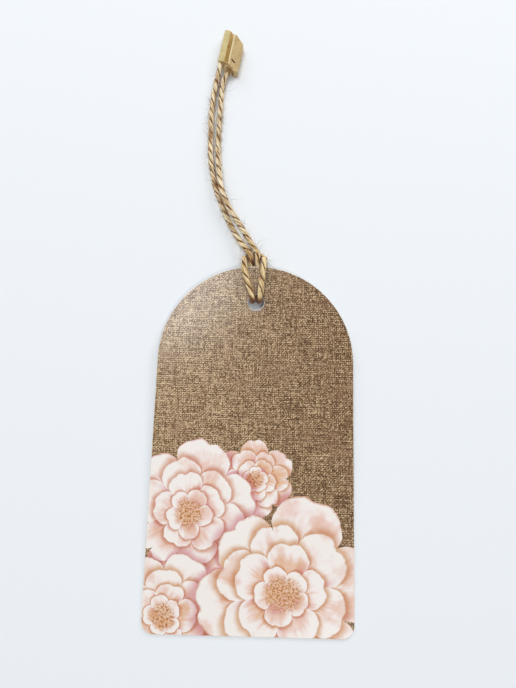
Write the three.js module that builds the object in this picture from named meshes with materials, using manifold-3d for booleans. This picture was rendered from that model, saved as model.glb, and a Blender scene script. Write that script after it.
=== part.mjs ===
// Cardboard gift tag with a printed, laminated face and a loop of jute twine.
// The twine is tied through the punched hole as a lark's head knot,
// and its two ends meet in a small moulded snap lock.
// Sizes are in millimetres. The tag lies face up on a table at z = 0,
// its front face looks along +Z and the twine leaves its arched end along +Y.

import * as THREE from 'three';
import { mergeVertices } from 'three/addons/utils/BufferGeometryUtils.js';
import Module from 'manifold-3d';

const wasm = await Module();
wasm.setup();

// Card
const cardWidth = 50;
const cardLength = 90;
const boardThickness = 0.4;
const filmThickness = 0.05;
const cornerRadius = 3;
const holeDiameter = 4.2;
const holeFromTop = 9.8;
const holeOffset = - 0.3;

// Twine
const twineDiameter = 1.5;
const hitchDiameter = 1.4;
const twineClearance = 0.3;
const tableClearance = 0.1;
const twineSides = 8;
const ballRings = 6;
const hitchSteps = 76;
const leftLegSteps = 18;
const rightLegSteps = 26;

// Snap lock body, the plate on the right
const bodyWidth = 3.35;
const bodyLength = 9.75;
const bodyThickness = 2.6;
const bodyTopWidth = 0.7;
const bodyShoulderDrop = 3;
const bodyToeDrop = 2.45;
const bodyFootWidth = 1.25;
const bodyFootRise = 0.15;
const bodyCornerRadius = 0.4;

// Raised lip beside the groove
const lipWidth = 0.4;
const lipHeight = 0.2;
const lipInset = 0.05;
const lipSetback = 0.5;
const lipCornerRadius = 0.13;

// Socket for the end of the right leg, and the slit left where that end was crimped
const socketX = 1.2;
const socketDepth = 1.6;
const socketClearance = 0.2;
const slitWidth = 0.4;
const slitLength = 1.7;
const slitX = 1.45;
const slitY = 0.9;
const slitAngle = 45;

// Side channel of the body, and the rib under its roof
const channelDepth = 1.45;
const channelHeight = 1.3;
const channelStart = 2.2;
const ribInset = 0.1;
const ribWidth = 0.25;
const ribDepth = 0.15;
const ribSetback = 0.9;

// Snap lock plug, the rod on the left, with a ledge along the groove
const rodWidth = 2.2;
const rodLength = 10.5;
const rodThickness = 2.5;
const rodChamfer = 0.6;
const rodCornerRadius = 0.4;
const plugGap = 0.3;
const ledgeWidth = 0.4;
const ledgeBottom = 0.3;
const ledgeTop = 1.7;
const ledgeSetback = 0.25;

// Rail of the plug, with a bead that snaps past the rib
const railThickness = 0.6;
const railClearance = 0.3;
const railSetback = 1.8;
const beadWidth = 0.5;
const beadHeight = 0.15;
const beadSetback = 0.5;
const beadCornerRadius = 0.05;
const beadCrestRadius = 0.1;

// Moulded edges and the facets of round forms
const edgeRadius = 0.12;
const edgeSegments = 2;
const fineCornerRadius = 0.32;
const cornerSegments = 3;
const cardArcSegments = 36;
const socketSegments = 16;

// The twine's gaps are measured on points this far apart, past a turn of this many diameters
const gapStep = 0.1;
const tightTurn = 2.5;

// How far one solid runs into another that it joins or cuts
const overlap = 0.1;
const overshoot = 1;

// Where the lock lies and how far it leans from +Y towards +X
const lockPosition = [ - 10.49, 61.12 ];
const lockLean = 9;

// The top edge of the card, which the twine's routes are measured from
const topEdgeY = cardLength / 2;

// The card leans on the two strands that run under it from its top edge to its hole
const cardLift = tableClearance + hitchDiameter + twineClearance;
const cardTilt = Math.asin( cardLift / ( cardLength - holeFromTop ) );

// Routes of the twine, in millimetres from the middle of the card's top edge at table level
const hitchRoute = [
	[ - 2.13, 2.75, 2.64 ], [ - 2.0, 2.05, 2.38 ], [ - 1.97, 1.25, 1.64 ], [ - 1.97, 0.3, 0.98 ],
	[ - 1.97, - 0.8, 0.8 ], [ - 1.6, - 5.0, 0.8 ], [ - 1.28, - 7.6, 0.8 ], [ - 1.19, - 8.55, 0.98 ],
	[ - 1.17, - 9.1, 1.45 ], [ - 1.17, - 9.25, 2.03 ], [ - 1.2, - 9.1, 2.65 ], [ - 1.3, - 8.55, 3.14 ],
	[ - 1.6, - 7.5, 3.32 ], [ - 2.45, - 5.0, 3.36 ], [ - 3.25, - 2.5, 3.44 ], [ - 3.6, - 0.4, 3.5 ],
	[ - 3.75, 1.25, 2.95 ], [ - 3.55, 2.5, 1.7 ], [ - 2.6, 3.3, 0.85 ], [ - 1.1, 3.5, 0.8 ],
	[ 0.4, 3.3, 0.85 ], [ 1.35, 2.5, 1.7 ], [ 1.5, 1.25, 2.95 ], [ 1.38, - 0.4, 3.5 ],
	[ 1.2, - 2.5, 3.44 ], [ 1.0, - 5.0, 3.36 ], [ 0.78, - 7.5, 3.32 ], [ 0.65, - 8.55, 3.14 ],
	[ 0.59, - 9.1, 2.65 ], [ 0.57, - 9.25, 2.03 ], [ 0.57, - 9.1, 1.45 ], [ 0.55, - 8.55, 0.98 ],
	[ 0.47, - 7.6, 0.8 ], [ 0.14, - 5.0, 0.8 ], [ - 0.25, - 0.8, 0.8 ], [ - 0.24, 0.3, 0.98 ],
	[ - 0.23, 1.25, 1.64 ], [ - 0.22, 2.05, 2.38 ], [ - 0.2, 2.75, 2.64 ]
];
const leftLegRoute = [
	[ - 2.6, 3.9, 2.64 ], [ - 3.55, 5.1, 2.2 ], [ - 4.9, 7.0, 1.55 ], [ - 6.45, 9.6, 1.05 ],
	[ - 7.9, 12.4, 0.82 ], [ - 9.3, 15.3, 0.8 ], [ - 10.75, 18.9, 0.8 ], [ - 12.0, 22.2, 0.8 ],
	[ - 12.9, 25.5, 0.8 ], [ - 13.65, 29.2, 0.8 ], [ - 14.2, 33.0, 0.8 ], [ - 14.4, 38.5, 0.8 ],
	[ - 14.5, 45.0, 0.8 ], [ - 14.2, 51.0, 0.82 ], [ - 13.6, 55.3, 0.95 ], [ - 13.0, 58.7, 1.15 ],
	[ - 12.55, 61.35, 1.25 ]
];
const rightLegRoute = [
	[ - 0.5, 3.9, 2.64 ], [ - 1.4, 5.2, 2.58 ], [ - 2.7, 7.4, 2.45 ], [ - 4.3, 10.1, 2.35 ],
	[ - 6.0, 12.75, 2.25 ], [ - 7.9, 15.8, 2.2 ], [ - 9.5, 19.0, 2.2 ], [ - 10.6, 22.0, 2.2 ],
	[ - 11.2, 25.0, 2.15 ], [ - 11.6, 28.4, 1.7 ], [ - 12.0, 32.0, 1.1 ], [ - 12.25, 36.0, 0.82 ],
	[ - 12.2, 42.0, 0.8 ], [ - 12.1, 48.0, 0.8 ], [ - 11.95, 53.0, 0.85 ], [ - 11.55, 56.0, 1.05 ],
	[ - 10.9, 57.9, 1.25 ], [ - 10.1, 59.0, 1.3 ], [ - 9.52, 59.95, 1.3 ], [ - 9.3, 60.93, 1.3 ],
	[ - 9.1, 62.22, 1.3 ]
];

// Materials
const boardMaterial = new THREE.MeshStandardMaterial( { color: 0xefece6, roughness: 0.85, metalness: 0 } );
const filmMaterial = new THREE.MeshStandardMaterial( { color: 0x9a8468, roughness: 0.35, metalness: 0 } );
const twineMaterial = new THREE.MeshStandardMaterial( { color: 0xc4a06e, roughness: 0.95, metalness: 0 } );
const bodyMaterial = new THREE.MeshStandardMaterial( { color: 0xbfa878, roughness: 0.45, metalness: 0 } );
const plugMaterial = new THREE.MeshStandardMaterial( { color: 0xcdbf85, roughness: 0.45, metalness: 0 } );

// Helpers between three.js geometry and solids that can be joined and cut

function closedGeometry( geometry ) {

	geometry.deleteAttribute( 'normal' );
	geometry.deleteAttribute( 'uv' );
	return mergeVertices( geometry, 1e-4 );

}

function toSolid( geometry ) {

	const closed = closedGeometry( geometry );
	return new wasm.Manifold( new wasm.Mesh( {
		numProp: 3,
		vertProperties: new Float32Array( closed.attributes.position.array ),
		triVerts: new Uint32Array( closed.index.array )
	} ) );

}

function fromSolid( solid ) {

	const mesh = solid.getMesh();
	const geometry = new THREE.BufferGeometry();
	geometry.setAttribute( 'position', new THREE.BufferAttribute( mesh.vertProperties, 3 ) );
	geometry.setIndex( new THREE.BufferAttribute( mesh.triVerts, 1 ) );
	return geometry;

}

function namedMesh( name, geometry, material ) {

	const mesh = new THREE.Mesh( geometry, material );
	mesh.name = name;
	return mesh;

}

// A closed outline through the points, each corner rounded by its own radius

function roundedOutline( corners ) {

	const shape = new THREE.Shape();
	corners.forEach( ( [ x, y, radius ], i ) => {

		const corner = new THREE.Vector2( x, y );
		const before = new THREE.Vector2( ...corners[ ( i + corners.length - 1 ) % corners.length ] );
		const after = new THREE.Vector2( ...corners[ ( i + 1 ) % corners.length ] );
		const start = before.sub( corner ).setLength( radius ).add( corner );
		const end = after.sub( corner ).setLength( radius ).add( corner );
		if ( i === 0 ) shape.moveTo( start.x, start.y );
		else shape.lineTo( start.x, start.y );
		shape.quadraticCurveTo( corner.x, corner.y, end.x, end.y );

	} );
	return shape;

}

function box( minimum, maximum ) {

	const size = maximum.map( ( value, i ) => value - minimum[ i ] );
	const middle = maximum.map( ( value, i ) => ( value + minimum[ i ] ) / 2 );
	const geometry = new THREE.BoxGeometry( ...size );
	geometry.translate( ...middle );
	return toSolid( geometry );

}

// Card: straight sides, two rounded corners, a half-round top and a punched hole

function cardOutline() {

	const half = cardWidth / 2;
	const archY = cardLength - half;
	const outline = new THREE.Shape();
	outline.moveTo( - half + cornerRadius, 0 );
	outline.lineTo( half - cornerRadius, 0 );
	outline.absarc( half - cornerRadius, cornerRadius, cornerRadius, - Math.PI / 2, 0 );
	outline.lineTo( half, archY );
	outline.absarc( 0, archY, half, 0, Math.PI );
	outline.lineTo( - half, cornerRadius );
	outline.absarc( - half + cornerRadius, cornerRadius, cornerRadius, Math.PI, Math.PI * 1.5 );
	const hole = new THREE.Path();
	hole.absarc( holeOffset, cardLength - holeFromTop, holeDiameter / 2, 0, Math.PI * 2, true );
	outline.holes.push( hole );
	return outline;

}

function cardPly( thickness ) {

	return closedGeometry( new THREE.ExtrudeGeometry( cardOutline(), {
		depth: thickness,
		bevelEnabled: false,
		curveSegments: cardArcSegments / 2
	} ) );

}

// Twine: a tube of regular section swept along a smooth curve through its route

function twineCurve( route ) {

	return new THREE.CatmullRomCurve3( route.map( ( point ) => new THREE.Vector3( ...point ) ) );

}

function twineTube( curve, diameter, steps ) {

	const section = new THREE.Shape();
	for ( let i = 0; i < twineSides; i ++ ) {

		const angle = ( i + 0.5 ) / twineSides * Math.PI * 2;
		const x = diameter / 2 * Math.cos( angle );
		const y = diameter / 2 * Math.sin( angle );
		if ( i === 0 ) section.moveTo( x, y );
		else section.lineTo( x, y );

	}

	return new THREE.ExtrudeGeometry( section, { steps, extrudePath: curve, bevelEnabled: false } );

}

// A leg of the loop: its lower end is a ball that turns beside the knot

function twineLeg( route, steps ) {

	const ball = new THREE.SphereGeometry( twineDiameter / 2, twineSides, ballRings );
	ball.translate( ...route[ 0 ] );
	const tube = twineTube( twineCurve( route ), twineDiameter, steps );
	return fromSolid( toSolid( tube ).add( toSolid( ball ) ) );

}

// Least gap between two stretches of twine, or between the turns of one stretch,
// where points closer along it than a tight turn are passed over

function leastGap( curveA, diameterA, curveB, diameterB ) {

	const same = curveA === curveB;
	const pointsA = curveA.getSpacedPoints( Math.round( curveA.getLength() / gapStep ) );
	const pointsB = curveB.getSpacedPoints( Math.round( curveB.getLength() / gapStep ) );
	const skip = Math.round( tightTurn * diameterA / gapStep );
	let least = Infinity;
	pointsA.forEach( ( point, i ) => {

		for ( let j = same ? i + skip : 0; j < pointsB.length; j ++ ) {

			least = Math.min( least, point.distanceTo( pointsB[ j ] ) );

		}

	} );
	return least - ( diameterA + diameterB ) / 2;

}

// A moulded block: the outline swept along +Z, with its edges rounded over at both ends

function mouldedBlock( outline, depth ) {

	const geometry = new THREE.ExtrudeGeometry( outline, {
		depth: depth - 2 * edgeRadius,
		bevelThickness: edgeRadius,
		bevelSize: edgeRadius,
		bevelOffset: - edgeRadius,
		bevelSegments: edgeSegments,
		curveSegments: cornerSegments
	} );
	geometry.translate( 0, 0, edgeRadius );
	return geometry;

}

function plainBlock( outline, depth ) {

	return new THREE.ExtrudeGeometry( outline, { depth, bevelEnabled: false, curveSegments: cornerSegments } );

}

// Lock body: a plate with two slanted ends, seen from the front, with its channel side at x = 0
// and the corner between that side and the slanted toe at y = 0

const lockMiddle = bodyThickness / 2;

function bodyPlate() {

	const outline = roundedOutline( [
		[ 0, 0, fineCornerRadius ],
		[ bodyWidth - bodyFootWidth, - bodyToeDrop, bodyCornerRadius ],
		[ bodyWidth, - bodyToeDrop + bodyFootRise, bodyCornerRadius ],
		[ bodyWidth, bodyLength - bodyShoulderDrop, bodyCornerRadius ],
		[ bodyTopWidth, bodyLength, fineCornerRadius ],
		[ 0, bodyLength, fineCornerRadius ]
	] );
	return toSolid( mouldedBlock( outline, bodyThickness ) );

}

function bodyLip() {

	const low = lipSetback;
	const high = bodyLength - lipSetback;
	const outline = roundedOutline( [
		[ lipInset, low, lipCornerRadius ],
		[ lipInset + lipWidth, low, lipCornerRadius ],
		[ lipInset + lipWidth, high, lipCornerRadius ],
		[ lipInset, high, lipCornerRadius ]
	] );
	const geometry = plainBlock( outline, lipHeight + edgeRadius );
	geometry.translate( 0, 0, bodyThickness - edgeRadius );
	return toSolid( geometry );

}

function bodyChannel() {

	return box(
		[ - overshoot, channelStart, lockMiddle - channelHeight / 2 ],
		[ channelDepth, bodyLength + overshoot, lockMiddle + channelHeight / 2 ]
	);

}

function bodyRib() {

	const roof = lockMiddle + channelHeight / 2;
	return box(
		[ ribInset, channelStart - overlap, roof - ribDepth ],
		[ ribInset + ribWidth, bodyLength - ribSetback, roof + overlap ]
	);

}

function bodySocket() {

	const radius = twineDiameter / 2 + socketClearance;
	const length = socketDepth + bodyToeDrop + overshoot;
	const geometry = new THREE.CylinderGeometry( radius, radius, length, socketSegments );
	geometry.translate( socketX, socketDepth - length / 2, lockMiddle );
	return toSolid( geometry );

}

function bodySlit() {

	const geometry = new THREE.BoxGeometry( slitLength, slitWidth, bodyThickness );
	geometry.rotateZ( - THREE.MathUtils.degToRad( slitAngle ) );
	geometry.translate( slitX, slitY, bodyThickness );
	return toSolid( geometry );

}

function lockBody() {

	return bodyPlate().add( bodyLip() ).subtract( bodyChannel() ).add( bodyRib() )
		.subtract( bodySocket() ).subtract( bodySlit() );

}

// Lock plug: a chamfered rod with a ledge beside the groove and a rail that snaps into the channel

const rodRight = - plugGap - ledgeWidth;
const railStart = channelStart + railClearance;
const railEnd = bodyLength - railSetback;
const railTip = channelDepth - railClearance;
const railBottom = lockMiddle - channelHeight / 2 + railClearance;

function plugRod() {

	const rodLeft = rodRight - rodWidth;
	const section = roundedOutline( [
		[ rodLeft, 0, fineCornerRadius ],
		[ rodRight, 0, fineCornerRadius ],
		[ rodRight, rodThickness - rodChamfer, fineCornerRadius ],
		[ rodRight - rodChamfer, rodThickness, fineCornerRadius ],
		[ rodLeft, rodThickness, rodCornerRadius ]
	] );
	const geometry = mouldedBlock( section, rodLength );
	geometry.rotateX( Math.PI / 2 );
	geometry.translate( 0, plugGap + rodLength, 0 );
	return toSolid( geometry );

}

function plugLedge() {

	return box(
		[ rodRight - overlap, plugGap + ledgeSetback, ledgeBottom ],
		[ - plugGap, plugGap + rodLength - ledgeSetback, ledgeTop ]
	);

}

function plugRail() {

	return box(
		[ - plugGap - overlap, railStart, railBottom ],
		[ railTip, railEnd, railBottom + railThickness ]
	);

}

function plugBead() {

	const section = roundedOutline( [
		[ railTip - beadWidth, - overlap, beadCornerRadius ],
		[ railTip, - overlap, beadCornerRadius ],
		[ railTip, 0, beadCornerRadius ],
		[ railTip - beadWidth / 2, beadHeight, beadCrestRadius ],
		[ railTip - beadWidth, 0, beadCornerRadius ]
	] );
	const geometry = plainBlock( section, railEnd - railStart - 2 * beadSetback );
	geometry.rotateX( Math.PI / 2 );
	geometry.translate( 0, railEnd - beadSetback, railBottom + railThickness );
	return toSolid( geometry );

}

function lockPlug() {

	return plugRod().add( plugLedge() ).add( plugRail() ).add( plugBead() );

}

// Assembly

const tag = new THREE.Group();

const card = new THREE.Group();
card.position.y = - cardLength / 2;
card.rotation.x = cardTilt;
card.add( namedMesh( 'card_board', cardPly( boardThickness ), boardMaterial ) );
const film = namedMesh( 'print_film', cardPly( filmThickness ), filmMaterial );
film.position.z = boardThickness;
card.add( film );
tag.add( card );

const hitchCurve = twineCurve( hitchRoute );
const leftLegCurve = twineCurve( leftLegRoute );
const rightLegCurve = twineCurve( rightLegRoute );

const twine = new THREE.Group();
twine.position.y = topEdgeY;
twine.add( namedMesh(
	'twine_hitch', closedGeometry( twineTube( hitchCurve, hitchDiameter, hitchSteps ) ), twineMaterial
) );
twine.add( namedMesh( 'twine_leg_left', twineLeg( leftLegRoute, leftLegSteps ), twineMaterial ) );
twine.add( namedMesh( 'twine_leg_right', twineLeg( rightLegRoute, rightLegSteps ), twineMaterial ) );

const lock = new THREE.Group();
lock.position.set( lockPosition[ 0 ], lockPosition[ 1 ], 0 );
lock.rotation.z = - THREE.MathUtils.degToRad( lockLean );
lock.add( namedMesh( 'lock_body', fromSolid( lockBody() ), bodyMaterial ) );
lock.add( namedMesh( 'lock_plug', fromSolid( lockPlug() ), plugMaterial ) );
twine.add( lock );
tag.add( twine );

const knotGap = leastGap( hitchCurve, hitchDiameter, hitchCurve, hitchDiameter );
const legGap = leastGap( leftLegCurve, twineDiameter, rightLegCurve, twineDiameter );
console.log( 'Knot, least gap to itself', knotGap.toFixed( 2 ), 'mm' );
console.log( 'Legs, least gap between them', legGap.toFixed( 2 ), 'mm' );

export default tag;
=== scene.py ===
import math

import bmesh
import bpy
import numpy as np
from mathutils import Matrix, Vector, noise
from mathutils.geometry import tessellate_polygon


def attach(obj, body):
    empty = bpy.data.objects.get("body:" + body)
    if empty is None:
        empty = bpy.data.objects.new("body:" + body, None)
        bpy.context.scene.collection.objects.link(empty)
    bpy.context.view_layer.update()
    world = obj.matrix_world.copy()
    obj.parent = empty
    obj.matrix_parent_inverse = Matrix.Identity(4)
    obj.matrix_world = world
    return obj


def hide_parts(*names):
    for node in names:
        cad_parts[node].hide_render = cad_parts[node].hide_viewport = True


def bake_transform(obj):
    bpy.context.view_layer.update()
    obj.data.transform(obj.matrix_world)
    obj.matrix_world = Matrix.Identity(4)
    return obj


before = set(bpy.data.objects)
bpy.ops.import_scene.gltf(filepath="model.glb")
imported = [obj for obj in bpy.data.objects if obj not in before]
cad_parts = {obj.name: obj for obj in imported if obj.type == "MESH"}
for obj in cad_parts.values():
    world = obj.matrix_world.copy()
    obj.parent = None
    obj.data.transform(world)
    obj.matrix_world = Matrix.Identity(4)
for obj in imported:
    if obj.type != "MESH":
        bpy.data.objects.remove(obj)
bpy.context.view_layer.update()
print("frame loaded")

mm = 0.001
topEdgeY = 45 * mm  # the middle of the card's top edge, which the twine is measured from

cardSize = {
    "width": 50 * mm,
    "length": 90 * mm,
    "cornerRadius": 3 * mm,
    "holeDiameter": 4.2 * mm,
    "holeFromTop": 9.8 * mm,
    "holeOffset": -0.3 * mm,
    "tilt": math.asin(1.8 / 80.2),  # it leans on the twine under its top edge
}
holeCentre = np.array([cardSize["holeOffset"], topEdgeY - cardSize["holeFromTop"]])


# Camera, at the photograph's viewing angle

camera = {
    "location": (-0.0000083, -0.0022871, 0.1316923),
    "rotation": (11.5471, -0.5562, 1.5826),  # degrees about X, Y and Z
    "lens": 27.05,
    "sensor": 36.0,
}


def makeCamera():
    data = bpy.data.cameras.new("camera")
    data.lens = camera["lens"]
    data.sensor_width = camera["sensor"]
    data.clip_start, data.clip_end = 0.005, 20
    obj = bpy.data.objects.new("camera", data)
    obj.location = camera["location"]
    obj.rotation_euler = [math.radians(angle) for angle in camera["rotation"]]
    bpy.context.scene.collection.objects.link(obj)
    bpy.context.scene.camera = obj


makeCamera()
print("camera placed")


# Helpers for meshes

def makeObject(name, vertices, faces):
    mesh = bpy.data.meshes.new(name)
    mesh.from_pydata([tuple(v) for v in vertices], [], [tuple(f) for f in faces])
    return addObject(name, mesh)


def addObject(name, mesh):
    obj = bpy.data.objects.new(name, mesh)
    bpy.context.scene.collection.objects.link(obj)
    return obj


def shadeSmooth(obj, sharpAngle=60):  # edges that turn more than this stay sharp
    bm = bmesh.new()
    bm.from_mesh(obj.data)
    bmesh.ops.recalc_face_normals(bm, faces=bm.faces)
    bm.to_mesh(obj.data)
    bm.free()
    obj.data.polygons.foreach_set("use_smooth", [True] * len(obj.data.polygons))
    obj.data.set_sharp_from_angle(angle=math.radians(sharpAngle))


def finishPiece(obj, material, bodies, nodes=(), bend=None):
    obj.data.materials.append(material)
    if bend:
        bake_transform(obj)
    else:
        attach(obj, bodies[0])
    if nodes:
        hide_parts(*nodes)


# Helpers for shader nodes

def feed(tree, socket, value):
    if isinstance(value, bpy.types.NodeSocket):
        tree.links.new(value, socket)
    else:
        socket.default_value = value


def addNode(tree, kind, options=None, **values):  # a socket's name has _ for each space
    node = tree.nodes.new("ShaderNode" + kind)
    node.location = (190 * len(tree.nodes), 0)
    for key, value in (options or {}).items():
        setattr(node, key, value)
    for key, value in values.items():
        feed(tree, node.inputs[key.replace("_", " ")], value)
    return node


def calc(tree, operation, *values):
    node = addNode(tree, "Math", {"operation": operation})
    for socket, value in zip(node.inputs, values):
        feed(tree, socket, value)
    return node.outputs[0]


def ramp(tree, value, low, high, toLow=0.0, toHigh=1.0):  # a smooth step between two values
    node = addNode(tree, "MapRange", {"interpolation_type": "SMOOTHSTEP"})
    for socket, number in zip(node.inputs, (value, low, high, toLow, toHigh)):
        feed(tree, socket, number)
    return node.outputs[0]


def mix(tree, factor, a, b, blendType="MIX"):
    node = addNode(tree, "Mix", {"data_type": "RGBA", "blend_type": blendType})
    for index, value in ((0, factor), (6, a), (7, b)):
        feed(tree, node.inputs[index], value)
    return node.outputs[2]


def vectorCalc(tree, operation, *values):
    node = addNode(tree, "VectorMath", {"operation": operation})
    for socket, value in zip(node.inputs, values):
        feed(tree, socket, value)
    return node.outputs["Value" if operation == "LENGTH" else "Vector"]


def combine(tree, x=0.0, y=0.0, z=0.0):
    return addNode(tree, "CombineXYZ", X=x, Y=y, Z=z).outputs[0]


def noiseAt(tree, place, scale, detail=2.0, roughness=0.5, output="Fac"):
    return addNode(
        tree, "TexNoise", Vector=place, Scale=scale, Detail=detail, Roughness=roughness
    ).outputs[output]


def newGroup(name, inputs, outputs):
    group = bpy.data.node_groups.new(name, "ShaderNodeTree")
    for socketName, kind, value in inputs:
        socket = group.interface.new_socket(
            name=socketName, in_out="INPUT", socket_type="NodeSocket" + kind
        )
        socket.default_value = value
    for socketName, kind in outputs:
        group.interface.new_socket(
            name=socketName, in_out="OUTPUT", socket_type="NodeSocket" + kind
        )
    start = group.nodes.new("NodeGroupInput")
    end = group.nodes.new("NodeGroupOutput")
    return group, start.outputs, end.inputs


def useGroup(tree, group, **values):
    return addNode(tree, "Group", {"node_tree": group}, **values).outputs


def newMaterial(name, **shaderValues):
    material = bpy.data.materials.new(name)
    material.use_nodes = True
    tree = material.node_tree
    shader = tree.nodes["Principled BSDF"]
    for key, value in shaderValues.items():
        shader.inputs[key.replace("_", " ")].default_value = value
    return material, tree, shader


def attribute(tree, name, output="Fac"):
    return addNode(tree, "Attribute", {"attribute_name": name}).outputs[output]


def millimetres(tree):  # the piece's own coordinates, in millimetres
    place = addNode(tree, "TexCoord").outputs["Object"]
    return vectorCalc(tree, "MULTIPLY", place, (1000, 1000, 1000))


def bumpNormal(tree, height, distance, strength=1.0):
    return addNode(
        tree, "Bump", Height=height, Strength=strength, Distance=distance
    ).outputs["Normal"]


# Colours are written as they look on a screen

def colour(hexCode):
    values = [int(hexCode[i:i + 2], 16) / 255 for i in (1, 3, 5)]
    return (*((c / 12.92 if c < 0.04045 else ((c + 0.055) / 1.055) ** 2.4) for c in values), 1.0)


# Mottling, used by every finish: three sizes of noise that spread a tone round 0.5

mottling = [  # how fine, detail, roughness, share
    (0.35, 2, 0.5, 0.4),
    (1.3, 3, 0.6, 0.35),
    (6.0, 4, 0.65, 0.25),
]


def makeMottleGroup():
    group, given, result = newGroup(
        "mottle",
        [("Vector", "Vector", (0, 0, 0)), ("Size", "Float", 1.0), ("Contrast", "Float", 1.0)],
        [("Tone", "Float"), ("Height", "Float")],
    )
    place = vectorCalc(group, "DIVIDE", given["Vector"], combine(
        group, given["Size"], given["Size"], given["Size"]
    ))
    total = 0.0
    for scale, detail, roughness, share in mottling:
        layer = noiseAt(group, place, scale, detail, roughness)
        total = calc(group, "MULTIPLY_ADD", layer, share, total)
    tone = calc(group, "MULTIPLY_ADD", calc(group, "SUBTRACT", total, 0.5), given["Contrast"], 0.5)
    feed(group, result["Tone"], tone)
    feed(group, result["Height"], layer)
    return group


mottle = makeMottleGroup()


# Twine: its three stretches, in metres from the middle of the card's top edge at table level

twine = {
    "legDiameter": 1.56 * mm,
    "knotDiameter": 1.62 * mm,
    "nominalDiameter": 1.5 * mm,
    "lay": 6.4 * mm,  # one whole turn of the two plies
    "twist": -1,  # -1 leans the plies like the middle stroke of an S
    "sides": 40,
    "ringSpacing": 0.14 * mm,
    "grooveDepth": 0.44,
    "grooveWidth": 22,  # degrees
    "unevenness": 0.08,
    "unevenLength": 2.6 * mm,
    "layWander": 0.5,
    "layWanderLength": 5 * mm,
    "fibreRelief": 0.07 * mm,
    "fibreLean": 0.55,
    "reliefScale": (3.6, 3.6, 0.55),  # how fine across the twine, and along it
    "strandScale": (8.0, 8.0, 0.55),
    "coarseScale": (2.5, 2.5, 0.32),
    "patchScale": (0.3, 0.3, 0.16),
    "ownStretch": 3.5 * mm,  # nearer than this along the twine is the same strand
    # painted shade: how far it spreads from where strands meet, and the height under which strands in the
    # hole get it
    "contactReach": 0.85 * mm,
    "contactTop": 4.2 * mm,
    "seed": 4,
    "light": "#fdedcb",
    "middle": "#dfbf8b",
    "dark": "#8e6338",
    # painted shade, the dark colour in the grooves between the plies
    "groove": "#703e16",
    # the red-brown of the painted shade where strands meet and in the hole
    "shadow": "#74370f",
    "tipTone": "#c9a070",
    "knotTint": "#faf3df",  # the knot is more golden than the legs
    "tintReach": 8 * mm,
    "hair": "#93805e",
    "hairShade": "#4c4030",
}

knotRoute = [
    (-0.00213, 0.00275, 0.00264), (-0.002, 0.00205, 0.00238), (-0.00197, 0.00125, 0.00164),
    (-0.00197, 0.0003, 0.00098), (-0.00197, -0.0008, 0.0008), (-0.0016, -0.005, 0.0008),
    (-0.00128, -0.0076, 0.0008), (-0.00119, -0.00855, 0.00098), (-0.00117, -0.0091, 0.00145),
    (-0.00117, -0.00925, 0.00203), (-0.0012, -0.0091, 0.00265), (-0.0013, -0.00855, 0.00314),
    (-0.0016, -0.0075, 0.00332), (-0.00245, -0.005, 0.00336), (-0.00325, -0.0025, 0.00344),
    (-0.0036, -0.0004, 0.0035), (-0.00375, 0.00125, 0.00295), (-0.00355, 0.0025, 0.0017),
    (-0.0026, 0.0033, 0.00085), (-0.0011, 0.0035, 0.0008), (0.0004, 0.0033, 0.00085),
    (0.00135, 0.0025, 0.0017), (0.0015, 0.00125, 0.00295), (0.00138, -0.0004, 0.0035),
    (0.0012, -0.0025, 0.00344), (0.001, -0.005, 0.00336), (0.00078, -0.0075, 0.00332),
    (0.00065, -0.00855, 0.00314), (0.00059, -0.0091, 0.00265), (0.00057, -0.00925, 0.00203),
    (0.00057, -0.0091, 0.00145), (0.00055, -0.00855, 0.00098), (0.00047, -0.0076, 0.0008),
    (0.00014, -0.005, 0.0008), (-0.00025, -0.0008, 0.0008), (-0.00024, 0.0003, 0.00098),
    (-0.00023, 0.00125, 0.00164), (-0.00022, 0.00205, 0.00238), (-0.0002, 0.00275, 0.00264),
]
leftLegRoute = [
    (-0.0026, 0.0039, 0.00264), (-0.00355, 0.0051, 0.0022), (-0.0049, 0.007, 0.00155),
    (-0.00645, 0.0096, 0.00105), (-0.0079, 0.0124, 0.00082), (-0.0093, 0.0153, 0.0008),
    (-0.01075, 0.0189, 0.0008), (-0.012, 0.0222, 0.0008), (-0.0129, 0.0255, 0.0008),
    (-0.01365, 0.0292, 0.0008), (-0.0142, 0.033, 0.0008), (-0.0144, 0.0385, 0.0008),
    (-0.0145, 0.045, 0.0008), (-0.0142, 0.051, 0.00082), (-0.0136, 0.0553, 0.00095),
    (-0.013, 0.0587, 0.00115), (-0.01255, 0.06135, 0.00125),
]
rightLegRoute = [
    (-0.0005, 0.0039, 0.00264), (-0.0014, 0.0052, 0.00258), (-0.0027, 0.0074, 0.00245),
    (-0.0043, 0.0101, 0.00235), (-0.006, 0.01275, 0.00225), (-0.0079, 0.0158, 0.0022),
    (-0.0095, 0.019, 0.0022), (-0.0106, 0.022, 0.0022), (-0.0112, 0.025, 0.00215),
    (-0.0116, 0.0284, 0.0017), (-0.012, 0.032, 0.0011), (-0.01225, 0.036, 0.00082),
    (-0.0122, 0.042, 0.0008), (-0.0121, 0.048, 0.0008), (-0.01195, 0.053, 0.00085),
    (-0.01155, 0.056, 0.00105), (-0.0109, 0.0579, 0.00125), (-0.0101, 0.059, 0.0013),
    (-0.00952, 0.05995, 0.0013), (-0.0093, 0.06093, 0.0013), (-0.0091, 0.06222, 0.0013),
]
leftEndInRod = (-0.0124, 0.0622, 0.00125)  # how far the left strand runs on inside the rod
wholeRoute = [leftEndInRod] + leftLegRoute[::-1] + knotRoute + rightLegRoute


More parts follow.
